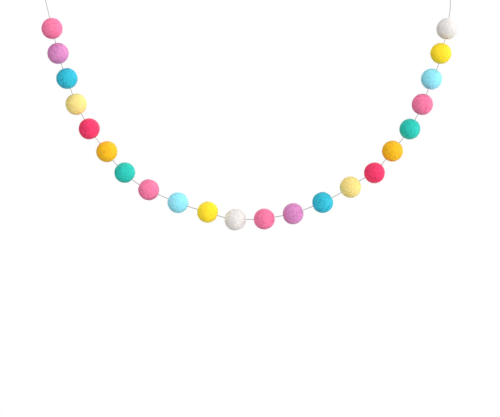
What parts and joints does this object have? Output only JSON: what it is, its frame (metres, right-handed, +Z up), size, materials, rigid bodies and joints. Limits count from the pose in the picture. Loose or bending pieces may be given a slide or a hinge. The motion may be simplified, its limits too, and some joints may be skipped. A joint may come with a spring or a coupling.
{
  "type": "felt ball garland",
  "caption": "Garland of round felted wool balls threaded on one thin string, hanging in a deep curve from a knotted loop at each end.",
  "frame": {"origin": "the left hanging point: the inner top of the left loop, where it bears on what holds it", "axes": "+X from the left hanging point to the right one, +Z up, -Y towards the viewer; the garland hangs in the XZ plane"},
  "size_m": [0.5036, 0.0257, 0.312],
  "materials": {
    "felt_pink": "matt wool felt, rose pink",
    "felt_mauve": "matt wool felt, mauve",
    "felt_turquoise": "matt wool felt, turquoise",
    "felt_pale_yellow": "matt wool felt, pale yellow",
    "felt_cerise": "matt wool felt, cerise",
    "felt_gold": "matt wool felt, golden yellow",
    "felt_sea_green": "matt wool felt, sea green",
    "felt_pale_blue": "matt wool felt, pale blue",
    "felt_yellow": "matt wool felt, bright yellow",
    "felt_white": "matt wool felt, natural white",
    "string": "matt twisted cotton string, off-white"
  },
  "bodies": {
    "root": {"ball_01_pink": "felt_pink", "ball_02_mauve": "felt_mauve", "ball_03_turquoise": "felt_turquoise", "ball_04_pale_yellow": "felt_pale_yellow", "ball_05_cerise": "felt_cerise", "ball_06_gold": "felt_gold", "ball_07_sea_green": "felt_sea_green", "ball_08_pink": "felt_pink", "ball_09_pale_blue": "felt_pale_blue", "ball_10_yellow": "felt_yellow", "ball_11_white": "felt_white", "ball_12_pink": "felt_pink", "ball_13_mauve": "felt_mauve", "ball_14_turquoise": "felt_turquoise", "ball_15_pale_yellow": "felt_pale_yellow", "ball_16_cerise": "felt_cerise", "ball_17_gold": "felt_gold", "ball_18_sea_green": "felt_sea_green", "ball_19_pink": "felt_pink", "ball_20_pale_blue": "felt_pale_blue", "ball_21_yellow": "felt_yellow", "ball_22_white": "felt_white", "string": "string"}
  },
  "joints": []
}
